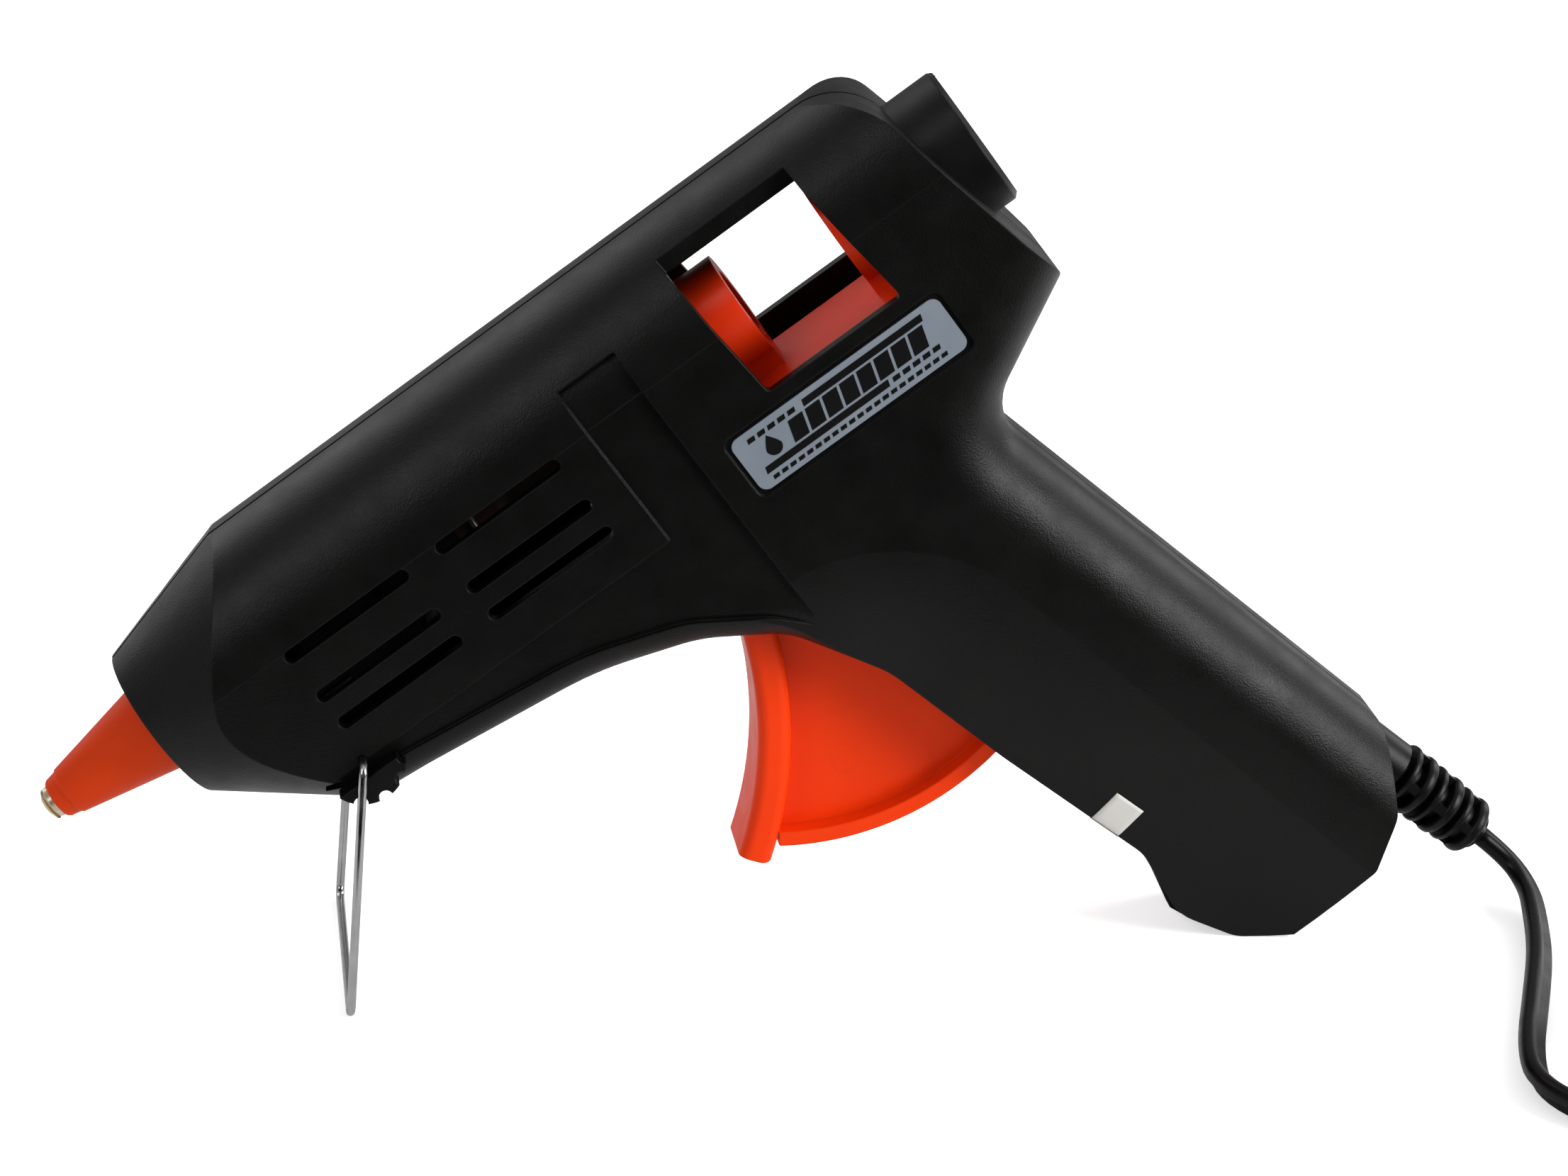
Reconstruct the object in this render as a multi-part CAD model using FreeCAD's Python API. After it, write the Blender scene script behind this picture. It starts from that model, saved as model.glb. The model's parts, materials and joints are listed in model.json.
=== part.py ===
# Hot glue gun for 11 mm sticks: two moulded shells round a heated chamber, a sliding feed carriage
# worked by a trigger, a folding wire stand and a mains cord.
#
# The gun is drawn in its own "gun frame" and stood up at the end. Gun frame, in millimetres: +X along
# the barrel from the nozzle to the stick inlet, with 0 at the front of the nozzle sleeve; Y across, with
# 0 on the parting plane; +Z up from the barrel axis. Standing, the barrel is tilted nose down by TILT
# about Y, and the gun rests on the wire stand's foot and on the butt of the grip.
import FreeCAD
import Part

import math
import os

Vec = FreeCAD.Vector

# ---- standing pose -------------------------------------------------------------------------------
TILT = 35.3                 # barrel above the horizontal, degrees
FLOOR_DEPTH = 30.1          # floor below the front of the nozzle sleeve, standing
SIN = math.sin(math.radians(TILT))
COS = math.cos(math.radians(TILT))

# ---- casing --------------------------------------------------------------------------------------
HALF_WIDTH = 19.0           # half width at the barrel's axis
BUTT_HALF_WIDTH = 15.5      # half width at the butt
BUTT_Z = -140.0
TOP_Z = 20.6                # top of the barrel above its axis
CROWN_R = 17.5              # rounding of the barrel's top
WALL = 2.2
NOSE_X = 21.5               # front face of the casing
NOSE_R = 13.5
NOSE_LENGTH = 26.0          # the nose cone, measured along the barrel
NOSE_END_R = 27.5
NOSE_END_Z = -6.5
EDGE_R = 5.5                # rounding of the belly and the front of the grip
BACK_R = 12.0               # rounding of the grip's back
SEAM_DEPTH = 0.7
SEAM_HALF_WIDTH = 0.4
EPS = 0.01

# ---- side openings -------------------------------------------------------------------------------
WINDOW_TOP = 12.4
WINDOW_BOTTOM = -8.8
WINDOW_TOP_X = (129.6, 153.9)
WINDOW_BOTTOM_X = (131.4, 156.6)
WINDOW_FLAT_Y = 12.0        # flat recess above the window
WINDOW_FLAT_TOP = 24.0
VENT_LENGTH = 23.5
VENT_HEIGHT = 2.3
VENT_COLUMNS = (46.6, 75.7)
VENT_ROWS = (2.0, -6.2, -11.8)
PANEL_BACK_X = 105.2        # rear edge of the raised vent panel
PANEL_BOTTOM_Z = -19.0
PANEL_TOP_Z = 10.6
STEP_BACK_X = 116.0         # rear edge of the recess behind the panel
STEP_DEPTH = 1.0
LABEL_X = (121.4, 160.8)
LABEL_Z = (-21.7, -11.8)
LABEL_DEPTH = 0.5
LABEL_THICK = 0.35
LABEL_CORNER_R = 1.6
LABEL_GAP = 0.8

# ---- glue path -----------------------------------------------------------------------------------
STICK_BORE_R = 6.2          # clears an 11.2 mm glue stick
NOZZLE_R = 5.8
SLEEVE_BASE_R = 7.9
CHAMBER_R = 9.0
CHAMBER_X = (26.2, 78.0)
NECK_R = 7.2
HEATER_X = (34.0, 62.0)
COLLAR_R = 12.0
COLLAR_X = (168.0, 180.4)

# ---- trigger and feed ----------------------------------------------------------------------------
PIVOT_X = 116.0
PIVOT_Z = -38.0
PIVOT_PIN_R = 2.0
HUB_R = 5.4
RIM_R = 47.7                # underside of the trigger about its pivot
ARM_R = 21.5                # pivot to drive pin
PULL = 32.0                 # trigger travel, degrees; the arm swings evenly about upright
DRIVE_PIN_R = 1.8
RUN_FIT = 0.06              # radial clearance of a pin that turns
GRASP_X = 41.9              # centre of the hollow finger face
GRASP_Z = -20.9
GRASP_R = (65.8, 71.2)
SLOT_HALF_WIDTH = 8.2       # trigger opening between the shells
RING_R = 9.0                # collars of the feed carriage
RING_FRONT = (119.6, 135.3)
RING_REAR = (153.3, 166.5)
BED_Z = (-13.0, -11.0)
BED_HALF_WIDTH = 9.8
LUG_Y = (3.1, 6.3)
GRIPPER_PIN = (125.4, -9.4)
GRIPPER_PIN_R = 1.0
SPRING_Z = -17.2
SPRING_POST_X = 160.0

# ---- wire stand ----------------------------------------------------------------------------------
BAIL_R = 0.7
BAIL_Y = 22.0
BAIL_FOOT_Y = 25.0          # the legs splay a little towards the foot
BAIL_PIVOT = (46.0, -18.5)
BAIL_FOOT_X = 19.6
CAM_R = 6.6
CAM_Y = (17.4, 21.1)
CAM_STOPS = (0, 36, 72, 104)    # notches, in degrees from the standing place

# ---- fasteners and wiring ------------------------------------------------------------------------
SCREWS = [(56.0, -20.6), (106.0, 15.0), (162.5, 13.7), (168.0, -20.5), (150.0, -93.0), (152.0, -124.0)]
SCREW_R = 1.5
BOSS_R = 3.6
HEAD_Y = 10.0
WIRE_R = 0.9
WIRE_Y = 10.9
SLEEVE_R = 1.55
CORD_R = 2.6                # flat twin cord, 5.2 mm across its wide side
RELIEF_START = (173.4, -124.0)
RELIEF_LENGTH = 26.9
RELIEF_NECK_R = 4.9
RELIEF_CORE_R = 3.3
KNUCKLE_RADII = (5.5, 5.35, 5.1)
KNUCKLE_START = 8.8
KNUCKLE_PITCH = 6.0
FLANGE_X = (-12.6, -10.2)    # flange that holds the relief in the casing
CLAMP_X = (-20.4, -17.0)
CLAMP_SCREW_Y = (-6.4, 6.4)
CLAMP_SCREW_R = 1.3
RELIEF_TILT = 74.45         # below the barrel, degrees
COIL_CENTRE = (40.0, -66.0)  # from the relief's end, on the floor
COIL_OUTER_R = 36.8
COIL_INNER_R = 15.6
COIL_HEIGHT = 14.4
PLUG_PLACE = (0.0, -20.6)
PLUG_WIDE = 35.0
PLUG_THICK = 13.6
PLUG_LONG = 35.0
PLUG_PIN_R = 2.0
PLUG_PIN_Y = 9.3
PLUG_PIN_LONG = 17.0


def floor_z(x):
    """Height of the floor in the gun frame below a point of the barrel axis."""
    return -(FLOOR_DEPTH + x * SIN) / COS


# ---- small helpers -------------------------------------------------------------------------------
def block(x0, x1, y0, y1, z0, z1):
    return Part.makeBox(x1 - x0, y1 - y0, z1 - z0, Vec(x0, y0, z0))


def rod_x(radius, x0, x1, y=0.0, z=0.0):
    return Part.makeCylinder(radius, x1 - x0, Vec(x0, y, z), Vec(1, 0, 0))


def rod_y(radius, y0, y1, x, z):
    return Part.makeCylinder(radius, y1 - y0, Vec(x, y0, z), Vec(0, 1, 0))


def tube_x(outer, inner, x0, x1):
    return rod_x(outer, x0, x1).cut(rod_x(inner, x0 - 1, x1 + 1))


def cone_x(r0, r1, x0, x1):
    return Part.makeCone(r0, r1, x1 - x0, Vec(x0, 0, 0), Vec(1, 0, 0))


def turned(points):
    """Solid of revolution about the barrel axis from (x, radius) points."""
    wire = Part.makePolygon([Vec(x, 0, r) for x, r in points + points[:1]])
    return Part.Face(wire).revolve(Vec(0, 0, 0), Vec(1, 0, 0), 360)


def rounded_wire(points):
    """Closed wire in the XZ plane through (x, z, radius) corners, each rounded by its radius."""
    corners = [Vec(x, 0, z) for x, z, r in points]
    radii = [r for x, z, r in points]
    edges = []
    ends = []
    for i, corner in enumerate(corners):
        before = (corners[i - 1] - corner).normalize()
        after = (corners[(i + 1) % len(corners)] - corner).normalize()
        if radii[i] <= 0:
            ends.append((corner, corner, None))
            continue
        half = before.getAngle(after) / 2
        reach = radii[i] / math.tan(half)
        middle = (before + after).normalize() * (radii[i] / math.sin(half) - radii[i])
        ends.append((corner + before * reach, corner + after * reach, corner + middle))
    for i, (start, end, middle) in enumerate(ends):
        if middle is not None:
            edges.append(Part.Arc(start, middle, end).toShape())
        following = ends[(i + 1) % len(ends)][0]
        if end.distanceToPoint(following) > 1e-4:
            edges.append(Part.LineSegment(end, following).toShape())
    return Part.Wire(edges)


def slab(points, y0, y1):
    """Plate of a rounded outline in the XZ plane, from y0 to y1."""
    face = Part.Face(rounded_wire(points))
    face.translate(Vec(0, y0, 0))
    return face.extrude(Vec(0, y1 - y0, 0))


def both_sides(shape):
    """The shape and its mirror image in the parting plane, as one compound."""
    return Part.makeCompound([shape, shape.mirror(Vec(0, 0, 0), Vec(0, 1, 0))])


def joined(*shapes):
    return shapes[0].multiFuse(list(shapes[1:])).removeSplitter()


# ---- casing --------------------------------------------------------------------------------------
def outline(soft):
    """Side view of the casing as (x, z, corner radius).

    The soft one has rounded outer corners; the other runs the grip's back on past the butt's slanted end.
    """
    heel = 145.6
    toe = 138.4
    if soft:
        shoulder_r, heel_r = 3, 1.5
        butt = [(178.5, -120.2, 3), (171.6, -131.8, 4), (163.6, -137.6, 2)]
    else:
        shoulder_r, heel_r = 0, 0
        butt = [(186.33, -150.0, 0)]
    return [
        (NOSE_X, -NOSE_R - 12, 0),
        (NOSE_X, TOP_Z, 0),
        (168.9, TOP_Z, 11),
        (178.9, -24.0, shoulder_r),
        (156.5, -36.5, 9),
        *butt,
        (heel, floor_z(heel), heel_r),
        (toe, floor_z(toe), 7),
        (133.0, -126.0, 8),
        (134.4, -112.6, 8),
        (125.7, -84.0, 30),
        (119.4, -60.0, 20),
        (110.5, -44.5, 14),
        (99.0, -36.6, 24),
        (83.0, -30.9, 60),
        (53.0, -27.0, 60),
        (36.0, -25.4, 0),
    ]


def shrunk(points, inset):
    """The same outline with every side moved inwards."""
    result = []
    for i, (x, z, radius) in enumerate(points):
        px, pz, _ = points[i - 1]
        nx, nz, _ = points[(i + 1) % len(points)]
        before = Vec(x - px, z - pz, 0).normalize()
        after = Vec(nx - x, nz - z, 0).normalize()
        turn = before.x * after.y - before.y * after.x
        normal = Vec(before.y + after.y, -before.x - after.x, 0).normalize()
        reach = inset / (normal.x * before.y - normal.y * before.x)
        if radius > 0:
            radius = radius - inset if turn < 0 else radius + inset
        result.append((x + normal.x * reach, z + normal.y * reach, max(radius, 0)))
    return result


def flanks(inset):
    """Everything between the two slightly drafted sides."""
    draft = (HALF_WIDTH - BUTT_HALF_WIDTH) / -BUTT_Z
    top = 40.0
    bottom = -155.0
    wide = HALF_WIDTH - inset + top * draft
    narrow = HALF_WIDTH - inset + bottom * draft
    side = [(wide, top), (narrow, bottom), (-narrow, bottom), (-wide, top)]
    wire = Part.makePolygon([Vec(0, y, z) for y, z in side + side[:1]])
    return Part.Face(wire).extrude(Vec(200, 0, 0))


def side_edges(form, wanted):
    """Long edges between the sides and the outline's faces whose middle passes the test."""
    edges = []
    for edge in form.Edges:
        middle = edge.BoundBox.Center
        across = edge.BoundBox.YLength > 6 or abs(middle.y) < 11
        if not across and wanted(middle.x, middle.z):
            edges.append(edge)
    return edges


def crown_cut(inset):
    """What the rounded top of the barrel takes off."""
    radius = CROWN_R - inset
    middle = TOP_Z - CROWN_R
    half = HALF_WIDTH - inset
    shoulder = half - radius
    top = middle + radius
    corner = math.sqrt(0.5) * radius
    wide = 40.0
    high = 60.0
    edges = []
    for side in (1, -1):
        start = Vec(0, side * half, middle)
        through = Vec(0, side * (shoulder + corner), middle + corner)
        edges.append(Part.Arc(start, through, Vec(0, side * shoulder, top)).toShape())
    runs = [((shoulder, top), (-shoulder, top)), ((-half, middle), (-wide, middle)),
            ((-wide, middle), (-wide, high)), ((-wide, high), (wide, high)),
            ((wide, high), (wide, middle)), ((wide, middle), (half, middle))]
    for start, end in runs:
        edges.append(Part.LineSegment(Vec(0, *start), Vec(0, *end)).toShape())
    wire = Part.Wire(Part.__sortEdges__(edges))
    return Part.Face(wire).extrude(Vec(200, 0, 0))


def nose_cut(inset):
    """What the slanted nose cone takes off."""
    front = Part.Wire(Part.makeCircle(NOSE_R - inset, Vec(NOSE_X, 0, 0), Vec(1, 0, 0)))
    back_x = NOSE_X + NOSE_LENGTH
    back = Part.Wire(Part.makeCircle(NOSE_END_R - inset, Vec(back_x, 0, NOSE_END_Z), Vec(1, 0, 0)))
    cone = Part.makeLoft([front, back], True, True)
    return block(NOSE_X - 1, back_x, -60, 60, -60, 60).cut(cone)


def body(inset):
    """The casing's outer form, or the same form with its faces moved inwards by inset."""
    form = slab(shrunk(outline(False), inset), -30, 30).common(flanks(inset))
    form = form.makeFillet(BACK_R - inset, side_edges(form, lambda x, z: x > 150 and -118 < z < -26))
    form = form.makeFillet(EDGE_R - inset, side_edges(form, lambda x, z: z < -22 and x < 145))
    form = form.common(slab(shrunk(outline(True), inset), -30, 30))
    return form.cut(crown_cut(inset)).cut(nose_cut(inset))


# ---- casing shells -------------------------------------------------------------------------------
def rectangle(xs, zs, radius):
    (x0, x1), (z0, z1) = xs, zs
    return [(x0, z0, radius), (x0, z1, radius), (x1, z1, radius), (x1, z0, radius)]


def vents():
    """Rounded slots through both sides over the hot chamber."""
    cuts = []
    for x in VENT_COLUMNS:
        for z in VENT_ROWS:
            zs = (z - VENT_HEIGHT / 2, z + VENT_HEIGHT / 2)
            cuts.append(slab(rectangle((x, x + VENT_LENGTH), zs, VENT_HEIGHT * 0.499), -30, 30))
    return cuts


def window():
    """Leaning opening through both sides, with a flat above it."""
    (t0, t1), (b0, b1) = WINDOW_TOP_X, WINDOW_BOTTOM_X
    corner = 0.8
    opening = slab([(b0, WINDOW_BOTTOM, corner), (t0, WINDOW_TOP, corner), (t1, WINDOW_TOP, corner),
                    (b1, WINDOW_BOTTOM, corner)], -30, 30)
    lean = (b0 - t0) / (WINDOW_TOP - WINDOW_BOTTOM)
    rise = (WINDOW_FLAT_TOP - WINDOW_TOP) * lean
    flat = slab([(t0, WINDOW_TOP - 1, 0), (t0 - rise, WINDOW_FLAT_TOP, 0), (t1 - rise, WINDOW_FLAT_TOP, 0),
                 (t1, WINDOW_TOP - 1, 0)], -30, -WINDOW_FLAT_Y)
    return [opening, both_sides(flat)]


def step_recess(form):
    """Shallow recess behind and below the raised vent panel."""
    behind = [(PANEL_BACK_X, PANEL_TOP_Z, 0), (STEP_BACK_X, PANEL_TOP_Z, 0), (STEP_BACK_X, -46.0, 0)]
    belly = [(110.5, -39.6, 10), (99.0, -31.6, 20), (83.0, -26.0, 50), (53.0, -22.1, 50), (37.5, -20.4, 0)]
    below = [(38.5, PANEL_BOTTOM_Z, 0), (PANEL_BACK_X, PANEL_BOTTOM_Z, 0)]
    region = slab(behind + belly + below, -30, 30)
    return region.cut(body(STEP_DEPTH))


def label_region(grow):
    xs = (LABEL_X[0] - grow, LABEL_X[1] + grow)
    zs = (LABEL_Z[0] - grow, LABEL_Z[1] + grow)
    return slab(rectangle(xs, zs, LABEL_CORNER_R), -30, -10)


def finger_recess(sink=0.0):
    """The flank's rounding-off towards the grip's front: a dish about the trigger, run on down the grip."""
    centre_x = 113.5
    centre_z = -67.0
    radius = 31.0
    length = 120.0
    lean = 13.8
    outside = -12.0
    slope = Part.Arc(Vec(radius, 0, 0), Vec(20.0, 1.7, 0), Vec(8.0, 4.8, 0)).toShape()
    rest = Part.makePolygon([Vec(8.0, 4.8, 0), Vec(0, 7.4, 0), Vec(0, outside, 0), Vec(radius, outside, 0),
                             Vec(radius, 0, 0)])
    face = Part.Face(Part.Wire([slope] + rest.Edges))
    dish = face.revolve(Vec(0, 0, 0), Vec(0, 1, 0), 360)
    wedge = face.extrude(Vec(0, 0, -length))
    wedge.rotate(Vec(0, 0, 0), Vec(0, 1, 0), -lean)
    cut = joined(dish, wedge)
    draft = math.degrees(math.atan2(HALF_WIDTH - BUTT_HALF_WIDTH, -BUTT_Z))
    cut.translate(Vec(centre_x, -HALF_WIDTH + sink, centre_z))
    cut.rotate(Vec(0, -HALF_WIDTH, 0), Vec(1, 0, 0), draft)
    return cut


def front_rib():
    """Small rib low on the grip's front, on the parting line."""
    return slab([(138.0, -116.0, 0), (133.9, -118.5, 0), (132.0, -128.2, 0.8), (133.0, -130.6, 0.8),
                 (139.0, -133.0, 0)], -1.4, 1.4)


def trigger_slot():
    """Opening between the shells that the trigger swings through."""
    sides = [(103.0, -46.0), (103.0, -33.0), (110.0, -33.0), (118.5, -42.0), (126.0, -56.0), (134.0, -88.0),
             (120.0, -88.0)]
    return slab([(x, z, 0) for x, z in sides], -SLOT_HALF_WIDTH, SLOT_HALF_WIDTH)


def relief_axis(shape):
    """Move a shape built along +X from the origin onto the strain relief's axis."""
    shape.rotate(Vec(0, 0, 0), Vec(0, 1, 0), RELIEF_TILT)
    shape.translate(Vec(RELIEF_START[0], 0, RELIEF_START[1]))
    return shape


def relief_point(distance, y=0.0):
    angle = math.radians(RELIEF_TILT)
    return Vec(RELIEF_START[0] + distance * math.cos(angle), y, RELIEF_START[1] - distance * math.sin(angle))


def inner_features():
    """Bosses, rails and ribs on the shells' inside, both sides."""
    x, z = BAIL_PIVOT
    features = [rod_y(HUB_R - 0.6, HUB_R + 0.3, 20, PIVOT_X, PIVOT_Z), rod_y(3.2, 12.5, 20, x, z)]
    features.append(block(117.0, 167.0, 8.4, 20, BED_Z[0] - 1.8, BED_Z[0] - 0.15))
    features += [rod_y(BOSS_R, 0, 20, sx, sz) for sx, sz in SCREWS]
    holder_rails = [(26.4, -9, 9), (31.2, -9, 9), (68.4, 2, 19), (73.2, 2, 19)]
    for rail_x, low, high in holder_rails:
        features.append(block(rail_x, rail_x + 1.4, 12.2, 20, low, high))
    for along in (FLANGE_X[0] - 1.65, FLANGE_X[1] + 0.05):
        features.append(relief_axis(block(along, along + 1.6, 5.2, 20, -6.5, 6.5)))
    return features


def casing(form, inner):
    """The hollow casing with everything but the parting cut."""
    half = block(-10, 220, 0, 40, -160, 60)
    inside = body(WALL / 2).common(half)
    features = [shape.common(inside) for shape in inner_features()]
    features += [shape.mirror(Vec(0, 0, 0), Vec(0, 1, 0)) for shape in features]
    post = rod_y(1.5, -18.0, 0, SPRING_POST_X, SPRING_Z).common(body(WALL / 2))
    cavity = inner.cut(both_sides(finger_recess(WALL)))
    hollow = form.cut(cavity).multiFuse(features + [post, front_rib().cut(cavity)])
    x, z = BAIL_PIVOT
    cuts = vents() + window() + [
        step_recess(form), label_region(LABEL_GAP).cut(body(LABEL_DEPTH)), both_sides(finger_recess()),
        trigger_slot(), rod_x(SLEEVE_BASE_R + 0.2, 15, 30), rod_x(COLLAR_R, 165, 190),
        rod_y(PIVOT_PIN_R, -15.5, 15.5, PIVOT_X, PIVOT_Z), rod_y(BAIL_R + RUN_FIT, -30, 30, x, z),
        relief_axis(rod_x(RELIEF_NECK_R, -9, 12)), stand_cams(), seam_groove(form)]
    for sx, sz in SCREWS:
        cuts += [rod_y(SCREW_R, -9, 1, sx, sz), rod_y(SCREW_R + 0.2, 0, 11, sx, sz),
                 rod_y(2.7, HEAD_Y, 25, sx, sz)]
    return hollow.cut(cuts)


def seam_groove(form):
    """Fine groove where the shells meet."""
    band = block(-10, 220, -SEAM_HALF_WIDTH, SEAM_HALF_WIDTH, -160, 60)
    return band.cut(body(SEAM_DEPTH))


def shells():
    form = body(0.0)
    case = casing(form, body(WALL))
    left = case.common(block(-10, 220, -40, 0, -160, 60))
    right = case.common(block(-10, 220, 0, 40, -160, 60))
    return {"left_shell": left, "right_shell": right}


# ---- hot end -------------------------------------------------------------------------------------
def nozzle():
    tip = [(-2.0, 1.25), (-2.0, 1.7), (-1.6, 2.3), (-0.8, 2.7), (0.0, 2.8), (1.0, 2.8)]
    shank = [(19.0, NOZZLE_R), (26.2, NOZZLE_R), (26.2, 5.0), (34.0, 5.0)]
    bore = [(34.0, 3.2), (12.0, 3.2), (9.0, 1.25)]
    return turned(tip + shank + bore)


def nozzle_sleeve():
    base = SLEEVE_BASE_R
    return turned([(0.0, 2.8), (0.0, 3.2), (0.4, 3.5), (2.2, 3.85), (2.5, 4.15), (21.2, base), (23.9, base),
                   (23.9, 9.4), (26.0, 9.4), (26.0, NOZZLE_R), (19.0, NOZZLE_R), (1.0, 2.8)])


def melt_chamber():
    x0, x1 = CHAMBER_X
    bore = turned([(x0 - 1, 0), (x0 - 1, 5.0), (34.0, 5.0), (34.0, 3.2), (38.0, 3.2), (60.0, 5.9),
                   (90.0, 5.9), (90.0, 0)])
    heater_block = block(HEATER_X[0] - 2, HEATER_X[1] + 3, -8.5, 8.5, -17.0, -4.0)
    pocket = block(HEATER_X[0] - 3, HEATER_X[1] + 4, -6.4, 6.4, -15.0, -11.0)
    fins = [tube_x(CHAMBER_R + 1.6, CHAMBER_R - 1, x, x + 1.4).cut(block(0, 200, -20, 20, -20, -3))
            for x in (40.0, 47.0, 54.0, 61.0)]
    outer = joined(rod_x(CHAMBER_R, x0, x1), rod_x(NECK_R, x1, x1 + 6), heater_block, *fins)
    return outer.cut([bore, pocket])


def heater_element():
    x0, x1 = HEATER_X
    tabs = [block(x1, x1 + 6, y - 2, y + 2, -13.3, -12.7) for y in (-3.5, 3.5)]
    return joined(block(x0, x1, -6.0, 6.0, -14.6, -11.4), *tabs)


def heater_insulation():
    x0, x1 = HEATER_X
    element = block(x0 - 2, x1 + 2, -6.0, 6.0, -14.6, -11.4)
    return block(x0 - 0.5, x1 - 0.5, -6.3, 6.3, -14.9, -11.1).cut(element)


def heater_clip():
    outer = block(38.0, 51.0, -9.4, 9.4, -18.0, -9.2)
    return outer.cut(block(37.0, 52.0, -8.6, 8.6, -17.1, 0))


def chamber_holder(x0, x1, keep_clear):
    disc = block(x0, x1, -30, 30, -30, 30).common(keep_clear)
    return disc.cut(rod_x(CHAMBER_R, x0 - 1, x1 + 1))


def front_holder(keep_clear):
    return chamber_holder(28.0, 31.0, keep_clear).cut(block(27, 32, -30, 30, -30, -14))


def rear_holder(keep_clear):
    disc = chamber_holder(70.0, 73.0, keep_clear).cut(block(69, 74, -30, 30, -30, -21))
    return disc.cut(both_sides(block(69, 74, -WIRE_Y - 2, -2.5, -30, -12.0)))


def stick_seal():
    start = CHAMBER_X[1] + 0.2
    outside = [(start, NECK_R), (start, 9.0), (86.0, 9.0), (90.0, 7.6), (99.0, 7.6), (100.5, 8.4),
               (102.0, 8.4)]
    inside = [(102.0, 6.6), (99.0, 5.8), (86.0, 5.8), (84.0, NECK_R)]
    return turned(outside + inside)


def seal_clamp():
    ring = Part.makeTorus(9.6, 0.6, Vec(81.5, 0, 0), Vec(1, 0, 0))
    ears = [rod_y(0.6, y - 2.2, y + 2.2, 81.5, 10.6).cut(rod_x(9.0, 80, 83)) for y in (-2.4, 2.4)]
    return joined(ring, *ears)


def stick_collar(keep_clear):
    x0, x1 = COLLAR_X
    tube = turned([(x0, STICK_BORE_R), (x0, COLLAR_R), (x1 - 0.8, COLLAR_R), (x1, COLLAR_R - 0.8), (x1, 9.4),
                   (x1 - 3.4, STICK_BORE_R)])
    flange = tube_x(COLLAR_R + 1.6, COLLAR_R - 1, x0, x0 + 1.6).common(keep_clear)
    return joined(tube, flange)


# ---- feed ----------------------------------------------------------------------------------------
def drive_pin_place():
    half = math.radians(PULL / 2)
    return PIVOT_X + ARM_R * math.sin(half), PIVOT_Z + ARM_R * math.cos(half)


def carriage():
    pin_x, pin_z = drive_pin_place()
    bore = rod_x(STICK_BORE_R, 110, 175)
    front = rod_x(RING_R, *RING_FRONT)
    rear = rod_x(RING_R, *RING_REAR)
    bed = block(RING_FRONT[0], RING_REAR[1], -BED_HALF_WIDTH, BED_HALF_WIDTH, *BED_Z)
    webs = [block(RING_FRONT[0], RING_FRONT[1], -4.5, 4.5, BED_Z[1] - 1, -7.0),
            block(RING_REAR[0], RING_REAR[1], -4.5, 4.5, BED_Z[1] - 1, -7.0)]
    lug = [(118.4, -20.6, 2), (118.4, BED_Z[0] + 1, 0), (125.6, BED_Z[0] + 1, 0), (125.6, -20.6, 2)]
    lugs = [slab(lug, y0, y1) for y0, y1 in (LUG_Y, (-LUG_Y[1], -LUG_Y[0]))]
    reach = DRIVE_PIN_R + 0.25
    slot = slab(rectangle((pin_x - reach, pin_x + reach), (pin_z - 2.1, pin_z + 2.9), reach * 0.99), -10, 10)
    pocket = block(121.5, 134.0, -1.9, 1.9, BED_Z[1] - 0.5, -4.0)
    hole = rod_y(GRIPPER_PIN_R, -4.5, 4.5, *GRIPPER_PIN)
    return joined(front, rear, bed, *webs, *lugs).cut([bore, slot, pocket, hole])


def stick_gripper():
    """Toothed lever that bites the stick when the trigger is pulled."""
    x, z = GRIPPER_PIN
    heel = [(x - 2.4, z - 1.2, 0.6), (x - 2.4, z + 1.6, 0.6)]
    teeth = [(x + 4.2, z + 3.0, 0), (x + 5.0, z + 2.2, 0), (x + 5.8, z + 3.0, 0), (x + 6.6, z + 2.2, 0)]
    nose = [(x + 7.2, z + 3.0, 0), (x + 7.6, z + 1.6, 0.4), (x + 2.4, z - 1.2, 0.6)]
    lever = slab(heel + teeth + nose, -1.6, 1.6)
    return lever.cut(rod_y(GRIPPER_PIN_R + RUN_FIT, -5, 5, x, z))


def return_spring():
    """Light spring between the carriage and a post on the casing."""
    radius = 2.0
    wire_r = 0.35
    start = 129.0
    length = 27.0
    pitch = 1.35
    helix = Part.makeHelix(pitch, length, radius)
    circle = Part.Wire(Part.makeCircle(wire_r, Vec(radius, 0, 0), Vec(0, 1, 0)))
    coil = Part.Wire(helix).makePipeShell([circle], True, True)
    coil.rotate(Vec(0, 0, 0), Vec(0, 1, 0), 90)
    coil.translate(Vec(start, 0, SPRING_Z))
    return coil


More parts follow.
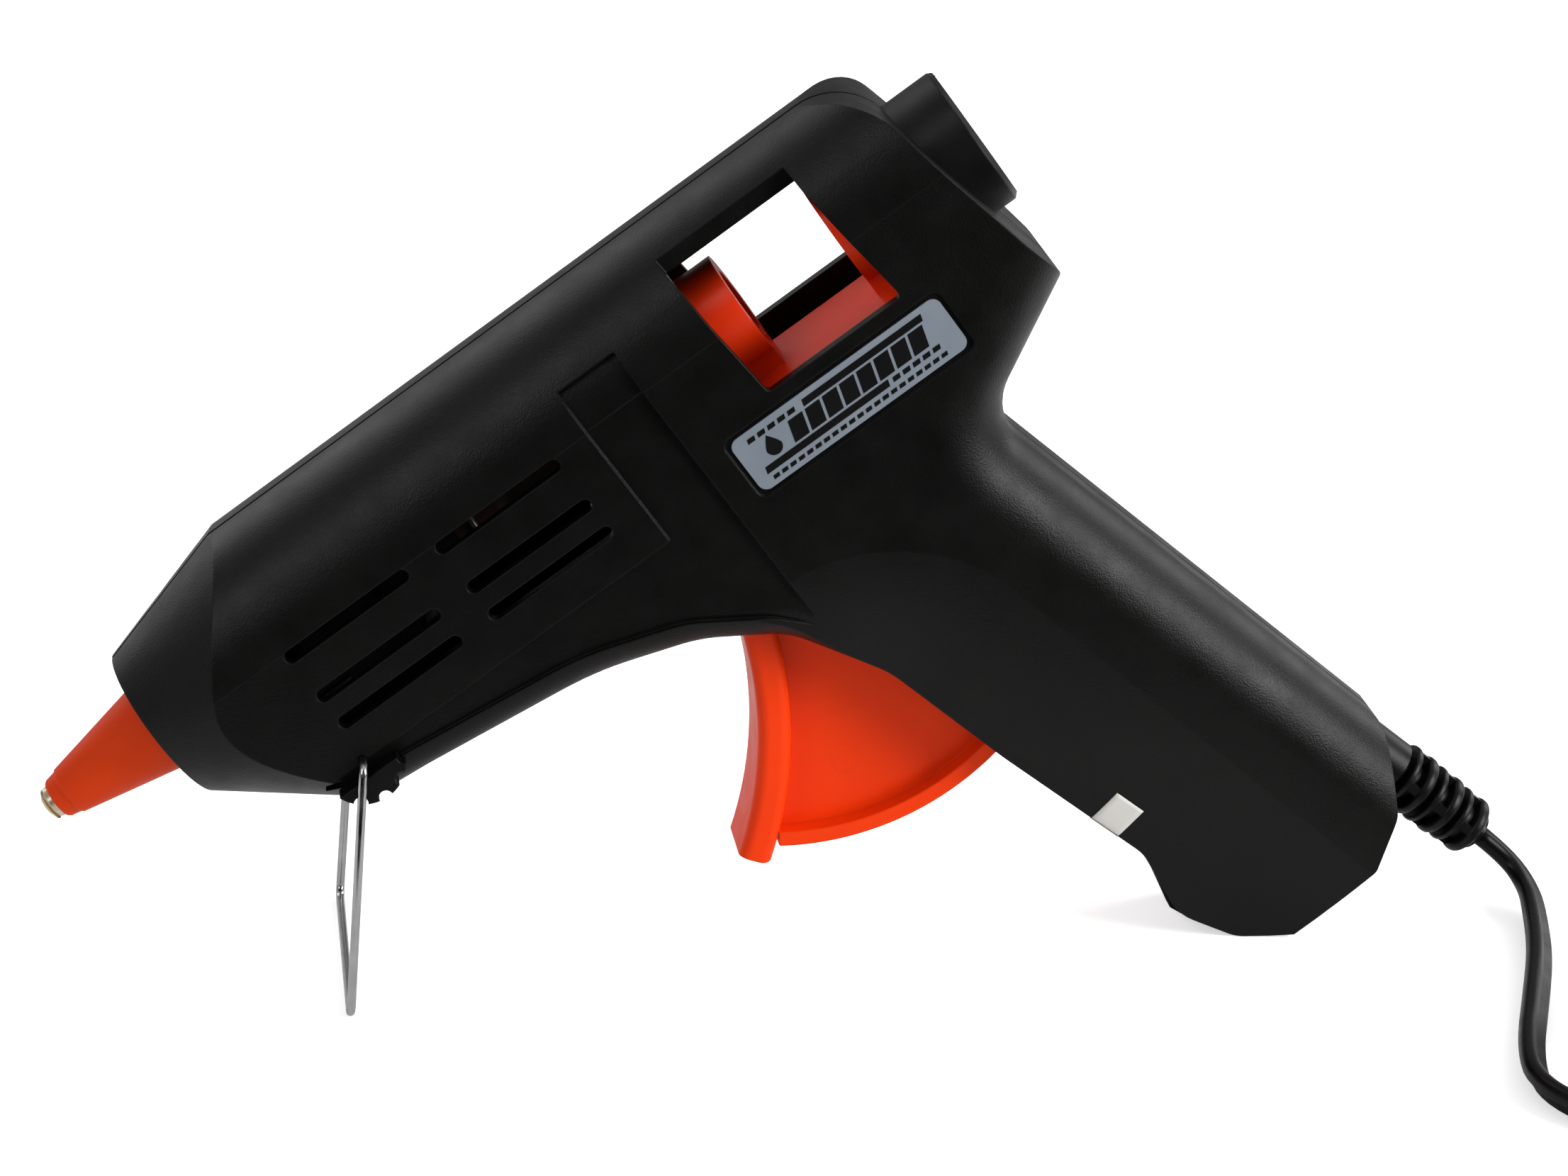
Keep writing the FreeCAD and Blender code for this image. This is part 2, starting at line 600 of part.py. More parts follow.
def trigger():
    pin_x, pin_z = drive_pin_place()
    x, z = PIVOT_X, PIVOT_Z
    hub = rod_y(HUB_R, -HUB_R, HUB_R, x, z)
    arm = slab([(x - 3.4, z - 1.0, 0), (pin_x - 3.1, pin_z + 1.2, 2.9), (pin_x + 3.1, pin_z + 3.1, 2.9),
                (x + 4.6, z + 1.0, 0)], -2.6, 2.6)
    drive = rod_y(DRIVE_PIN_R, -6.1, 6.1, pin_x, pin_z)
    disc = rod_y(RIM_R - 1, -2.6, 2.6, x, z)
    web_sides = [(x, z + 4), (104.0, -36.0), (106.0, -46.0), (86.0, -74.0), (96.0, -95.0), (134.4, -95.0),
                 (134.4, -82.0), (122.0, z)]
    web = disc.common(slab([(side_x, side_z, 0) for side_x, side_z in web_sides], -3, 3))
    band = rod_y(RIM_R, -6.5, 6.5, x, z).cut(rod_y(RIM_R - 2.4, -7, 7, x, z))
    rim_sides = [(x, z), (87.6, -76.0), (90.0, -95.0), (135.0, -95.0), (133.2, -82.0)]
    rim = band.common(slab([(side_x, side_z, 0) for side_x, side_z in rim_sides], -7, 7))
    return joined(hub, arm, drive, web, rim, finger_strip()).cut(rod_y(PIVOT_PIN_R + RUN_FIT, -9, 9, x, z))


def finger_strip():
    """Hollow front face of the trigger, wider than its web."""
    inner, outer = GRASP_R
    half_width = 7.4
    ring = rod_y(outer, -half_width, half_width, GRASP_X, GRASP_Z)
    ring = ring.cut(rod_y(inner, -9, 9, GRASP_X, GRASP_Z))
    strip = ring.common(slab([(GRASP_X, GRASP_Z, 0), (84.4, -77.6, 3.0), (90.6, -77.6, 3.0),
                              (125.0, -40.0, 0), (125.0, -34.4, 0)], -9, 9))
    long_edges = [e for e in strip.Edges if e.Length > 25 and e.BoundBox.YLength < 1]
    return strip.makeFillet(1.8, long_edges)


# ---- wire stand ----------------------------------------------------------------------------------
def bail_foot():
    """Middle of the foot wire, standing on the floor."""
    return BAIL_FOOT_X, floor_z(BAIL_FOOT_X) + BAIL_R / COS


def stand_bail():
    x, z = BAIL_PIVOT
    foot_x, foot_z = bail_foot()
    points = [Vec(x, -13.2, z), Vec(x, -BAIL_Y, z), Vec(foot_x, -BAIL_FOOT_Y, foot_z),
              Vec(foot_x, BAIL_FOOT_Y, foot_z), Vec(x, BAIL_Y, z), Vec(x, 13.2, z)]
    return swept(points, [1.6, 2.2, 2.2, 1.6], BAIL_R)


def leg_angle():
    foot_x, foot_z = bail_foot()
    return math.degrees(math.atan2(foot_z - BAIL_PIVOT[1], foot_x - BAIL_PIVOT[0]))


def stand_cams():
    """Notched cheeks beside the belly that the wire legs click into."""
    x, z = BAIL_PIVOT
    cheek = rod_y(CAM_R, CAM_Y[0], CAM_Y[1], x, z)
    cheek = cheek.common(block(x - 20, x + 20, 0, 40, z - 20, z - 2.2))
    notch_r = 1.15
    reach = CAM_R - 0.1
    notches = []
    for turn in CAM_STOPS:
        angle = math.radians(leg_angle() + turn)
        notches.append(rod_y(notch_r, 10, 30, x + reach * math.cos(angle), z + reach * math.sin(angle)))
    return both_sides(cheek.cut(notches))


# ---- wiring --------------------------------------------------------------------------------------
def swept(points, radii, radius):
    """Round bar along straight runs joined by tangent arcs of the given radii."""
    edges = []
    start = points[0]
    for before, corner, after, bend in zip(points, points[1:], points[2:], radii):
        back = (before - corner).normalize()
        ahead = (after - corner).normalize()
        half = back.getAngle(ahead) / 2
        reach = bend / math.tan(half)
        enter = corner + back * reach
        leave = corner + ahead * reach
        middle = corner + (back + ahead).normalize() * (bend / math.sin(half) - bend)
        edges += [Part.LineSegment(start, enter).toShape(), Part.Arc(enter, middle, leave).toShape()]
        start = leave
    edges.append(Part.LineSegment(start, points[-1]).toShape())
    path = Part.Wire(edges)
    direction = (points[1] - points[0]).normalize()
    circle = Part.Wire(Part.makeCircle(radius, points[0], direction))
    return path.makePipeShell([circle], True, False)


def bend_radii(points, share=0.45):
    """The largest arc each corner's two runs allow."""
    radii = []
    for before, corner, after in zip(points, points[1:], points[2:]):
        half = (before - corner).getAngle(after - corner) / 2
        shorter = min((before - corner).Length, (after - corner).Length)
        radii.append(share * shorter * math.tan(half))
    return radii


def free_bar(points, radius):
    return swept(points, bend_radii(points), radius)


def wires():
    """Insulated cores, crimp sleeves and heater leads, one of each per side."""
    nodes = {"cord_cores": [], "crimp_sleeves": [], "heater_leads": []}
    for side in (-1, 1):
        y = side * WIRE_Y
        low = Vec(161.5, y, -84.0)
        high = Vec(156.0, y, -62.0)
        step = (high - low).normalize()
        core = [relief_point(CLAMP_X[0] - 0.6, side * 1.3), relief_point(CLAMP_X[0] - 5, side * 1.3),
                Vec(164.6, side * 6.5, -93.5), low - step * 3, low]
        lead = [high, high + step * 6, Vec(150.0, y, -44.0), Vec(140.0, y, -26.0), Vec(118.0, y, -18.0),
                Vec(84.0, y, -17.5), Vec(74.0, side * 9.0, -17.3), Vec(69.0, side * 4.0, -13.6)]
        nodes["cord_cores"].append(free_bar(core, WIRE_R))
        nodes["heater_leads"].append(free_bar(lead, WIRE_R))
        sleeve = Part.makeCylinder(SLEEVE_R, (high - low).Length, low, step)
        nodes["crimp_sleeves"].append(sleeve)
    return {name: Part.makeCompound(solids) for name, solids in nodes.items()}


def cord_inner():
    return relief_axis(rod_x(CORD_R, CLAMP_X[0] - 0.6, RELIEF_LENGTH))


def rounded_disc(radius, x0, x1, soft):
    disc = rod_x(radius, x0, x1)
    rims = [edge for edge in disc.Edges if edge.BoundBox.XLength < 0.1]
    return disc.makeFillet(soft, rims)


def knuckle(x, radius):
    """One bulge of the relief: a thin disc, crossed ribs and a thick rounded disc."""
    front_end = x + 1.1
    rear_start = x + 2.9
    rib = block(front_end - 0.3, rear_start + 0.3, -0.8, 0.8, -radius + 0.35, radius - 0.35)
    crossed = rib.copy()
    crossed.rotate(Vec(0, 0, 0), Vec(1, 0, 0), 90)
    front = rounded_disc(radius, x, front_end, 0.4)
    rear = rounded_disc(radius, rear_start, x + 5.0, 0.9)
    return [front, rib, crossed, rear]


def strain_relief():
    """Flexible moulded sleeve: a collar held in the casing and three bulges outside."""
    solids = [rod_x(RELIEF_NECK_R, FLANGE_X[0], 7.6), rod_x(6.4, *FLANGE_X)]
    for i, radius in enumerate(KNUCKLE_RADII):
        solids += knuckle(KNUCKLE_START + i * KNUCKLE_PITCH, radius)
    core = cone_x(RELIEF_CORE_R + 0.3, RELIEF_CORE_R, FLANGE_X[0], RELIEF_LENGTH)
    back_wall = block(FLANGE_X[0] - 1, -5.5, -10, 10, 3.7, 10)
    relief = joined(core, *solids).cut([rod_x(CORD_R, -20, 40), back_wall])
    return relief_axis(relief)


def cord_clamp():
    x0, x1 = CLAMP_X
    plate = block(x0, x1, -8.6, 8.6, -4.2, -2.7)
    bridge = rod_x(CORD_R + 1.2, x0, x1).common(block(x0 - 1, x1 + 1, -4, 4, -6, -1.0))
    middle = (x0 + x1) / 2
    holes = [Part.makeCylinder(CLAMP_SCREW_R, 10, Vec(middle, y, -8), Vec(0, 0, 1)) for y in CLAMP_SCREW_Y]
    return relief_axis(joined(plate, bridge).cut([rod_x(CORD_R, -40, 0)] + holes))


def clamp_screws():
    screws = []
    x = (CLAMP_X[0] + CLAMP_X[1]) / 2
    for y in CLAMP_SCREW_Y:
        shank = Part.makeCylinder(CLAMP_SCREW_R, 5.6, Vec(x, y, -4.2), Vec(0, 0, 1))
        head = Part.makeCylinder(2.2, 1.4, Vec(x, y, -5.6), Vec(0, 0, 1))
        screws.append(relief_axis(shank.fuse(head)))
    return Part.makeCompound(screws)


# ---- fasteners and trim --------------------------------------------------------------------------
def case_screws():
    screws = []
    for x, z in SCREWS:
        head = rod_y(2.5, HEAD_Y, HEAD_Y + 2.0, x, z)
        cross = [block(x - 1.6, x + 1.6, HEAD_Y + 1.0, HEAD_Y + 3, z - 0.3, z + 0.3),
                 block(x - 0.3, x + 0.3, HEAD_Y + 1.0, HEAD_Y + 3, z - 1.6, z + 1.6)]
        screws.append(head.fuse(rod_y(SCREW_R, -8.6, HEAD_Y, x, z)).cut(cross))
    return Part.makeCompound(screws)


def trigger_pin():
    return rod_y(PIVOT_PIN_R, -15.3, 15.3, PIVOT_X, PIVOT_Z)


def gripper_pin():
    return rod_y(GRIPPER_PIN_R, -4.4, 4.4, *GRIPPER_PIN)


def label():
    return label_region(0.0).common(body(LABEL_DEPTH - LABEL_THICK)).cut(body(LABEL_DEPTH))


# ---- cord outside, in the stood-up frame before the origin is moved ------------------------------
def stood(point):
    """The place of a gun-frame point once the gun stands on the floor."""
    return Vec(point.x * COS - point.z * SIN, point.y, point.x * SIN + point.z * COS)


def cord_route():
    """From the relief down to the floor, out past the left side, and round to the coil."""
    start = stood(relief_point(RELIEF_LENGTH))
    floor = -FLOOR_DEPTH + CORD_R
    hand_set = [(5.5, -0.6, -4.5), (7.9, -6.4, -8.2), (6.6, -14.6, None), (2.8, -30.0, None),
                (-3.4, -48.0, None), (-9.4, -65.0, None), (-12.0, -78.5, None), (-5.0, -91.0, None),
                (8.5, -98.2, None), (24.0, -100.0, None)]
    points = [start]
    for dx, y, dz in hand_set:
        points.append(Vec(start.x + dx, y, floor if dz is None else start.z + dz))
    points.append(Vec(start.x + COIL_CENTRE[0], COIL_CENTRE[1] - COIL_OUTER_R + CORD_R, floor))
    return points


def cord_tube():
    points = cord_route()
    radii = bend_radii(points)
    print("cord radii", [round(r, 1) for r in radii])
    tube = swept(points, radii, CORD_R)
    print("cord tube length", round(tube.Volume / (math.pi * CORD_R ** 2), 1))
    return tube


def coil_middle():
    start = stood(relief_point(RELIEF_LENGTH))
    return Vec(start.x + COIL_CENTRE[0], COIL_CENTRE[1], -FLOOR_DEPTH)


def cord_coil():
    """Outer shape of the neat coil that most of the cord is wound into."""
    ring = Part.makeCylinder(COIL_OUTER_R, COIL_HEIGHT)
    ring = ring.cut(Part.makeCylinder(COIL_INNER_R, COIL_HEIGHT))
    rims = [edge for edge in ring.Edges if edge.Closed and len(edge.Vertexes) == 1]
    ring = ring.makeFillet(CORD_R - 0.1, rims)
    ring.translate(coil_middle())
    return ring


def plug_entry():
    middle = coil_middle()
    return Vec(middle.x + PLUG_PLACE[0], middle.y + PLUG_PLACE[1], middle.z + COIL_HEIGHT + PLUG_THICK / 2)


def cord_tail_route():
    """Off the top turn and across the ring into the plug."""
    middle = coil_middle()
    top = middle.z + COIL_HEIGHT - CORD_R
    hand_set = [(-20.7, 22.4, 0.0), (-28.5, 9.0, 0.6), (-28.0, -6.0, 2.6), (-22.0, -15.6, 5.4),
                (-12.0, -20.6, 8.2)]
    points = [Vec(middle.x + dx, middle.y + dy, top + dz) for dx, dy, dz in hand_set]
    return points + [plug_entry()]


def cord_tail():
    points = cord_tail_route()
    radii = bend_radii(points)
    print("tail radii", [round(r, 1) for r in radii])
    return swept(points, radii, CORD_R)


def plug_section(x, wide, thick):
    corner = min(wide, thick) * 0.3
    ys = (-wide / 2, -wide / 2 + corner, wide / 2 - corner, wide / 2)
    zs = (-thick / 2, -thick / 2 + corner, thick / 2 - corner, thick / 2)
    loop = [(0, 1), (1, 0), (2, 0), (3, 1), (3, 2), (2, 3), (1, 3), (0, 2), (0, 1)]
    return Part.makePolygon([Vec(x, ys[i], zs[j]) for i, j in loop])


def mains_plug():
    """Flat two-pin plug with a tapered handle, lying on the coil."""
    places = [(0.0, 8.0, 7.0), (20.0, 20.0, 10.0), (25.0, PLUG_WIDE, PLUG_THICK),
              (PLUG_LONG, PLUG_WIDE, PLUG_THICK)]
    sections = [plug_section(*place) for place in places]
    lofts = [Part.makeLoft([near, far], True) for near, far in zip(sections, sections[1:])]
    plug = joined(*lofts)
    plug.translate(plug_entry())
    return plug


def plug_pins():
    pins = []
    tip = PLUG_LONG + PLUG_PIN_LONG
    for y in (-PLUG_PIN_Y, PLUG_PIN_Y):
        pin = rod_x(PLUG_PIN_R, PLUG_LONG, tip, y).fuse(Part.makeSphere(PLUG_PIN_R, Vec(tip, y, 0)))
        pin.translate(plug_entry())
        pins.append(pin)
    return Part.makeCompound(pins)


# ---- put together --------------------------------------------------------------------------------
def build():
    keep_clear = body(WALL + 0.15)
    nodes = shells()
    nodes.update({
        "nozzle": nozzle(),
        "nozzle_sleeve": nozzle_sleeve(),
        "melt_chamber": melt_chamber(),
        "heater_element": heater_element(),
        "heater_insulation": heater_insulation(),
        "heater_clip": heater_clip(),
        "front_holder": front_holder(keep_clear),
        "rear_holder": rear_holder(keep_clear),
        "stick_seal": stick_seal(),
        "seal_clamp": seal_clamp(),
        "stick_collar": stick_collar(keep_clear),
        "carriage": carriage(),
        "stick_gripper": stick_gripper(),
        "gripper_pin": gripper_pin(),
        "return_spring": return_spring(),
        "trigger": trigger(),
        "trigger_pin": trigger_pin(),
        "stand_bail": stand_bail(),
        "stand_cams": stand_cams(),
        "strain_relief": strain_relief(),
        "cord_inner": cord_inner(),
        "cord_clamp": cord_clamp(),
        "clamp_screws": clamp_screws(),
        "case_screws": case_screws(),
        "label": label(),
    })
    nodes.update(wires())
    return nodes


def cord_nodes():
    return {"cord_tube": cord_tube(), "cord_coil": cord_coil(), "cord_tail": cord_tail(),
            "mains_plug": mains_plug(), "plug_pins": plug_pins()}


def main():
    os.makedirs("parts", exist_ok=True)
    nodes = build()
    for shape in nodes.values():
        shape.rotate(Vec(0, 0, 0), Vec(0, 1, 0), -TILT)
    box = FreeCAD.BoundBox()
    for shape in nodes.values():
        box.add(shape.optimalBoundingBox(False))
    origin = Vec(box.Center.x, box.Center.y, box.ZMin)
    size = [round(v, 2) for v in (box.XLength, box.YLength, box.ZLength)]
    print("box", size, "floor", round(box.ZMin + FLOOR_DEPTH, 4))
    nodes.update(cord_nodes())
    for name, shape in nodes.items():
        shape.translate(-origin)
        print(name, shape.isValid(), round(shape.Volume, 1), len(shape.Solids), flush=True)
        shape.exportStep(f"parts/{name}.step")
    places = {"trigger": Vec(PIVOT_X, 0, PIVOT_Z), "stand": Vec(BAIL_PIVOT[0], 0, BAIL_PIVOT[1]),
              "gripper": Vec(GRIPPER_PIN[0], 0, GRIPPER_PIN[1]), "sleeve tip": Vec(0, 0, 0),
              "stick inlet": Vec(COLLAR_X[1], 0, 0)}
    print("plug entry", [round(v, 3) for v in plug_entry() - origin])
    print("cord exit", [round(v, 3) for v in cord_route()[0] - origin])
    for name, place in places.items():
        print(name, [round(v, 3) for v in stood(place) - origin])


main()
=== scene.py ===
import json
import math

import bmesh
import bpy
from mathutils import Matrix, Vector
from mathutils.bvhtree import BVHTree

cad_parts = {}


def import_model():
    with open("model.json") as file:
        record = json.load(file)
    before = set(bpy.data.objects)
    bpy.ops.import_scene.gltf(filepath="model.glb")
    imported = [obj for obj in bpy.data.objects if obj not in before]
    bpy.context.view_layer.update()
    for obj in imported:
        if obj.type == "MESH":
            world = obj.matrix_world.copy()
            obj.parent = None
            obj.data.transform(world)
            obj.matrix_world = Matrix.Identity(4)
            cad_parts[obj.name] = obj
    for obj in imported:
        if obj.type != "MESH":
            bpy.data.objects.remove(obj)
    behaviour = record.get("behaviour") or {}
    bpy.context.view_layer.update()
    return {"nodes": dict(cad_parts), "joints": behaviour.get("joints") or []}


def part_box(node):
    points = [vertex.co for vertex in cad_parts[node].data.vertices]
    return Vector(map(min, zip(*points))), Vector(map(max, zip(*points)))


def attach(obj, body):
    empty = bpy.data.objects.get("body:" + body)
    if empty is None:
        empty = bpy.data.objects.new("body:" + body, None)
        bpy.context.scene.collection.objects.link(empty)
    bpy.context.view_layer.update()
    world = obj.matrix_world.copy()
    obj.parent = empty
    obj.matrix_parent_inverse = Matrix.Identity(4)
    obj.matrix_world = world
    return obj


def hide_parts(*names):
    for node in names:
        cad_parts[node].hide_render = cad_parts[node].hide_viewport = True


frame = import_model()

MM = 0.001
NODES = frame["nodes"]
JOINTS = {joint["name"]: joint for joint in frame["joints"]}

# ---- the gun's own frame -------------------------------------------------------------------------
# x runs along the barrel from the sleeve's front, y across it, z up from the barrel's axis
ALONG = -Vector(JOINTS["carriage_slide"]["axis"])
UP = Vector((-ALONG.z, 0.0, ALONG.x))
ACROSS = Vector((0.0, 1.0, 0.0))
TRIGGER_PIVOT = Vector(JOINTS["trigger_pull"]["pos_m"])
SLEEVE_FRONT = TRIGGER_PIVOT - ALONG * 0.116 + UP * 0.038


def at(x, y, z):
    """The place of a point given in millimetres in the gun's own frame."""
    return SLEEVE_FRONT + (ALONG * x + ACROSS * y + UP * z) * MM


# ---- camera, light and floor ---------------------------------------------------------------------
CAMERA_AZIMUTH = math.radians(-7.5)
CAMERA_HEIGHT = math.radians(19.0)
CAMERA_DISTANCE = 0.7
TARGET = SLEEVE_FRONT + Vector((0.1171, 0.0, 0.0304))
LENS = 99.9
SURROUND_NEAR = 0.10                # strength of the surround as light, on the viewer's side
SURROUND_FAR = 0.75                 # and on the far side
SURROUND_SEEN = 0.95                # its strength as the viewer sees it
FLOOR_GLOW = 0.55                   # light the floor adds for the viewer only
FLOOR_SIZE = 3.0
FLOOR_BEND = 0.8                    # radius of the curve up into the backdrop
FLOOR_STEPS = 16


def towards(azimuth, height):
    """Unit vector from the target towards a viewer at that azimuth and height."""
    flat = math.cos(height)
    return Vector((math.sin(azimuth) * flat, -math.cos(azimuth) * flat, math.sin(height)))


def camera():
    data = bpy.data.cameras.new("camera")
    data.lens = LENS
    data.sensor_width = 36.0
    data.clip_start = 0.01
    eye = bpy.data.objects.new("camera", data)
    back = towards(CAMERA_AZIMUTH, CAMERA_HEIGHT)
    eye.location = TARGET + back * CAMERA_DISTANCE
    eye.rotation_euler = back.to_track_quat("Z", "Y").to_euler()
    bpy.context.scene.collection.objects.link(eye)
    bpy.context.scene.camera = eye


def area_light(name, azimuth, height, distance, size, power, colour=(1, 1, 1)):
    data = bpy.data.lights.new(name, "AREA")
    data.shape = "RECTANGLE"
    data.size, data.size_y = size
    data.energy = power
    data.color = colour
    lamp = bpy.data.objects.new(name, data)
    back = towards(math.radians(azimuth), math.radians(height))
    lamp.location = TARGET + back * distance
    lamp.rotation_euler = back.to_track_quat("Z", "Y").to_euler()
    bpy.context.scene.collection.objects.link(lamp)


def lights():
    area_light("key_top", 10, 62, 1.0, (0.9, 0.5), 1.0)
    area_light("front_left", -48, 30, 1.2, (0.5, 0.8), 4.2)
    area_light("side_right", 58, 20, 0.85, (0.4, 0.5), 8.5)
    area_light("back_right", 118, 30, 1.0, (0.5, 0.8), 4.0)
    area_light("back_left", -140, 30, 1.1, (0.6, 0.9), 3.0)


def flag():
    """Black card on the viewer's side of the floor, seen only in reflections: it keeps gloss deep."""
    near, far, wide, level = -1.1, -0.1, 0.8, 0.004
    corners = [(-wide, near, level), (wide, near, level), (wide, far, level), (-wide, far, level)]
    mesh = bpy.data.meshes.new("flag")
    mesh.from_pydata(corners, [], [(0, 1, 2, 3)])
    card = bpy.data.objects.new("flag", mesh)
    bpy.context.scene.collection.objects.link(card)
    made, _, _, shader = new_material("flag_black")
    shader.inputs["Base Color"].default_value = (0.004, 0.004, 0.004, 1.0)
    shader.inputs["Specular IOR Level"].default_value = 0.0
    mesh.materials.append(made)
    card.visible_camera = False
    card.visible_diffuse = False
    card.visible_shadow = False
    card.visible_transmission = False


def world():
    """Pale surround for the viewer; as light it is softer, and dim on the viewer's side."""
    sky = bpy.data.worlds.new("studio")
    bpy.context.scene.world = sky
    sky.use_nodes = True
    nodes, links = sky.node_tree.nodes, sky.node_tree.links
    nodes.clear()
    out = nodes.new("ShaderNodeOutputWorld")
    back = nodes.new("ShaderNodeBackground")
    place = nodes.new("ShaderNodeTexCoord")
    split = nodes.new("ShaderNodeSeparateXYZ")
    ramp = nodes.new("ShaderNodeMapRange")
    ray = nodes.new("ShaderNodeLightPath")
    pick = nodes.new("ShaderNodeMix")
    links.new(place.outputs["Generated"], split.inputs[0])
    links.new(split.outputs["Y"], ramp.inputs["Value"])
    ramp.inputs["From Min"].default_value = -0.7
    ramp.inputs["From Max"].default_value = 0.7
    ramp.inputs["To Min"].default_value = SURROUND_NEAR
    ramp.inputs["To Max"].default_value = SURROUND_FAR
    links.new(ray.outputs["Is Camera Ray"], pick.inputs["Factor"])
    links.new(ramp.outputs["Result"], pick.inputs["A"])
    pick.inputs["B"].default_value = SURROUND_SEEN
    back.inputs["Color"].default_value = (1.0, 1.0, 1.0, 1.0)
    links.new(pick.outputs["Result"], back.inputs["Strength"])
    links.new(back.outputs[0], out.inputs["Surface"])


def floor():
    """Pale sweep: a floor that curves up into a backdrop."""
    flat_end = FLOOR_SIZE * 0.6
    mesh = bpy.data.meshes.new("floor")
    profile = [(-FLOOR_SIZE, 0.0)]
    for i in range(FLOOR_STEPS + 1):
        turn = math.radians(90 * i / FLOOR_STEPS)
        profile.append((flat_end + FLOOR_BEND * math.sin(turn), FLOOR_BEND - FLOOR_BEND * math.cos(turn)))
    profile.append((flat_end + FLOOR_BEND, FLOOR_SIZE))
    verts = [(x, y, z) for y, z in profile for x in (-FLOOR_SIZE, FLOOR_SIZE)]
    faces = [(2 * i, 2 * i + 1, 2 * i + 3, 2 * i + 2) for i in range(len(profile) - 1)]
    mesh.from_pydata(verts, [], faces)
    mesh.shade_smooth()
    sweep = bpy.data.objects.new("floor", mesh)
    bpy.context.scene.collection.objects.link(sweep)
    sweep.data.materials.append(plain_floor())


# ---- materials -----------------------------------------------------------------------------------
def new_material(name):
    """A material with its nodes, its links and its main shader."""
    made = bpy.data.materials.new(name)
    made.use_nodes = True
    nodes = made.node_tree.nodes
    return made, nodes, made.node_tree.links, nodes["Principled BSDF"]


def plain_floor():
    """Pale matt floor, a little brighter to the viewer than as a light."""
    made, nodes, links, shader = new_material("pale_floor")
    shader.inputs["Base Color"].default_value = (0.86, 0.86, 0.86, 1.0)
    shader.inputs["Roughness"].default_value = 0.7
    shader.inputs["Specular IOR Level"].default_value = 0.1
    shader.inputs["Emission Color"].default_value = (1.0, 1.0, 1.0, 1.0)
    ray = nodes.new("ShaderNodeLightPath")
    glow = nodes.new("ShaderNodeMath")
    glow.operation = "MULTIPLY"
    glow.inputs[1].default_value = FLOOR_GLOW
    links.new(ray.outputs["Is Camera Ray"], glow.inputs[0])
    links.new(glow.outputs[0], shader.inputs["Emission Strength"])
    return made


def noise(nodes, links, scale, detail=2.0, stretch=None):
    """Noise in the object's own coordinates, stretched along an axis if asked."""
    place = nodes.new("ShaderNodeTexCoord")
    grain = nodes.new("ShaderNodeTexNoise")
    grain.inputs["Scale"].default_value = scale
    grain.inputs["Detail"].default_value = detail
    if stretch:
        spread = nodes.new("ShaderNodeMapping")
        spread.inputs["Scale"].default_value = stretch
        links.new(place.outputs["Object"], spread.inputs["Vector"])
        links.new(spread.outputs["Vector"], grain.inputs["Vector"])
    else:
        links.new(place.outputs["Object"], grain.inputs["Vector"])
    return grain.outputs["Fac"]


def ranged(nodes, links, value, low, high, start=0.3, end=0.7):
    """The value's middle part, spread over low to high."""
    spread = nodes.new("ShaderNodeMapRange")
    spread.inputs["From Min"].default_value = start
    spread.inputs["From Max"].default_value = end
    spread.inputs["To Min"].default_value = low
    spread.inputs["To Max"].default_value = high
    links.new(value, spread.inputs["Value"])
    return spread.outputs["Result"]


def blended(nodes, links, value, first, second):
    """A colour between two, by the value."""
    mix = nodes.new("ShaderNodeMix")
    mix.data_type = "RGBA"
    links.new(value, mix.inputs["Factor"])
    mix.inputs["A"].default_value = (*first, 1.0)
    mix.inputs["B"].default_value = (*second, 1.0)
    return mix.outputs["Result"]


def rounded(nodes, radius):
    """Normals softened along sharp edges, as every moulded edge is slightly round."""
    bevel = nodes.new("ShaderNodeBevel")
    bevel.samples = 6
    bevel.inputs["Radius"].default_value = radius
    return bevel.outputs["Normal"]


def bumped(nodes, links, shader, height, depth, before=None):
    """Relief of that depth in metres, on top of the normals that come before."""
    bump = nodes.new("ShaderNodeBump")
    bump.inputs["Distance"].default_value = depth
    bump.inputs["Strength"].default_value = 1.0
    links.new(height, bump.inputs["Height"])
    if before:
        links.new(before, bump.inputs["Normal"])
    links.new(bump.outputs["Normal"], shader.inputs["Normal"])
    return bump.outputs["Normal"]


def moulded(name, colour, darker, rough, grain=2600.0, grain_depth=0.00002, wave_depth=0.00004,
            specular=0.5, subsurface=0.0, edge=0.0):
    """Injection-moulded plastic or rubber: fine spark grain, slow waviness, uneven gloss and colour."""
    made, nodes, links, shader = new_material(name)
    slow = noise(nodes, links, 38.0, 3.0)
    mottle = noise(nodes, links, 160.0, 4.0)
    fine = noise(nodes, links, grain, 1.0)
    links.new(blended(nodes, links, ranged(nodes, links, slow, 0.0, 1.0), colour, darker),
              shader.inputs["Base Color"])
    links.new(ranged(nodes, links, mottle, rough - 0.05, rough + 0.06), shader.inputs["Roughness"])
    wavy = bumped(nodes, links, shader, slow, wave_depth, rounded(nodes, edge) if edge else None)
    bumped(nodes, links, shader, fine, grain_depth, wavy)
    shader.inputs["Specular IOR Level"].default_value = specular
    if subsurface:
        shader.inputs["Subsurface Weight"].default_value = subsurface
        shader.inputs["Subsurface Radius"].default_value = (0.004, 0.0012, 0.0004)
        shader.inputs["Subsurface Scale"].default_value = 0.5
    return made


